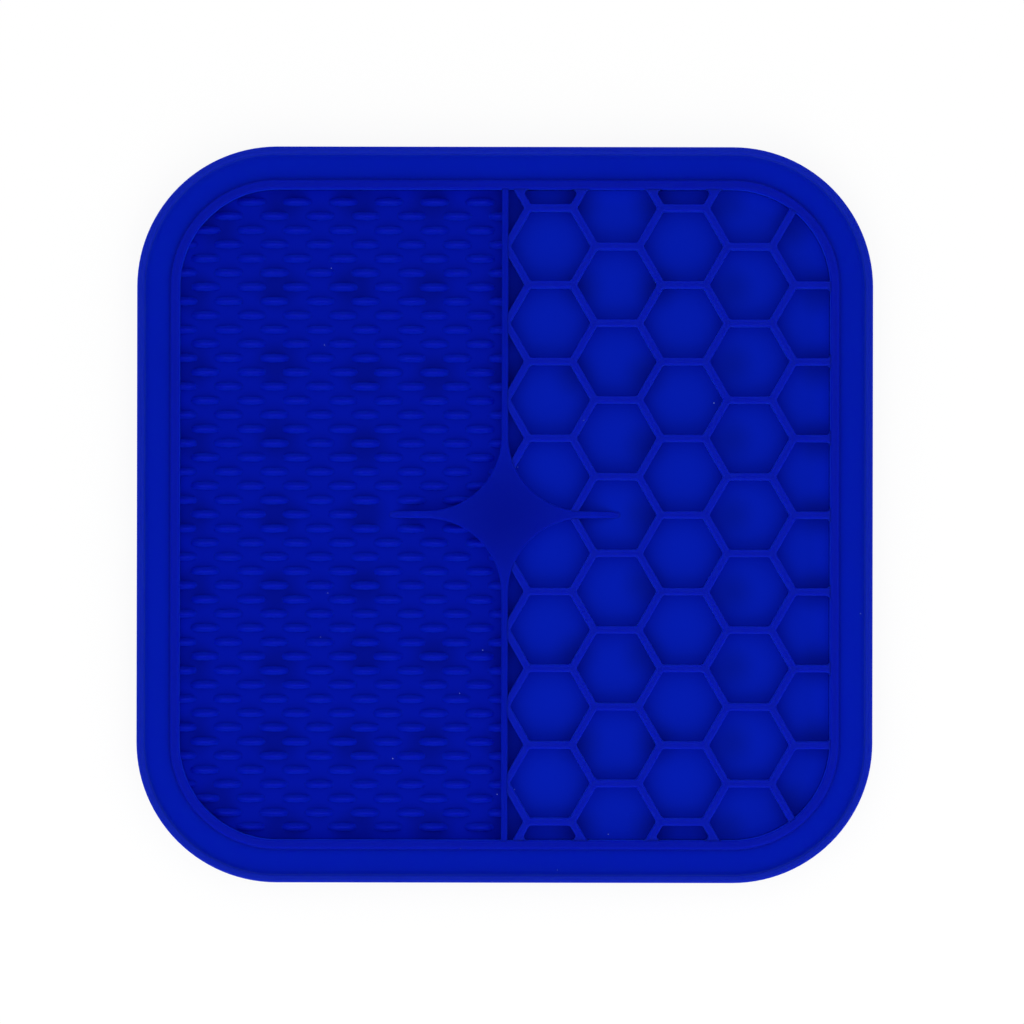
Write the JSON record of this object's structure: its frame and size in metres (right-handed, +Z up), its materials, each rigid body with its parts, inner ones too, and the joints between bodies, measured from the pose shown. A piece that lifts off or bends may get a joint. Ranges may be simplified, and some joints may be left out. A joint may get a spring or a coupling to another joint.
{
  "type": "lick mat",
  "caption": "Square silicone lick mat with a raised rim, a divider with a star, staggered ridges on one half, honeycomb cells on the other, and suction cups below.",
  "frame": {"origin": "under the middle of the mat, on the plane of the suction cups' lips", "axes": "+X towards the honeycomb half, +Y towards the back edge along the divider, +Z up"},
  "size_m": [0.2, 0.2, 0.01],
  "materials": {
    "blue_silicone": "satin moulded silicone, deep blue all through"
  },
  "bodies": {
    "mat": {"base_sheet": "blue_silicone", "border_wall": "blue_silicone", "gutter_flange": "blue_silicone", "rim_bead": "blue_silicone", "centre_star": "blue_silicone", "divider": "blue_silicone", "star_ramps": "blue_silicone", "lick_ridges": "blue_silicone", "honeycomb_cross_ribs": "blue_silicone", "honeycomb_rising_ribs": "blue_silicone", "honeycomb_falling_ribs": "blue_silicone"},
    "suction_cups": {"outer_suction_cups": "blue_silicone", "middle_suction_cups": "blue_silicone", "inner_suction_cups": "blue_silicone"}
  },
  "joints": [
    {"name": "cup_press", "type": "slide", "parent": "mat", "child": "suction_cups", "axis": [0, 0, 1], "range_m": [0, 0.0015], "stiffness_N_per_m": 5000, "deforming": ["outer_suction_cups", "middle_suction_cups", "inner_suction_cups"]}
  ]
}
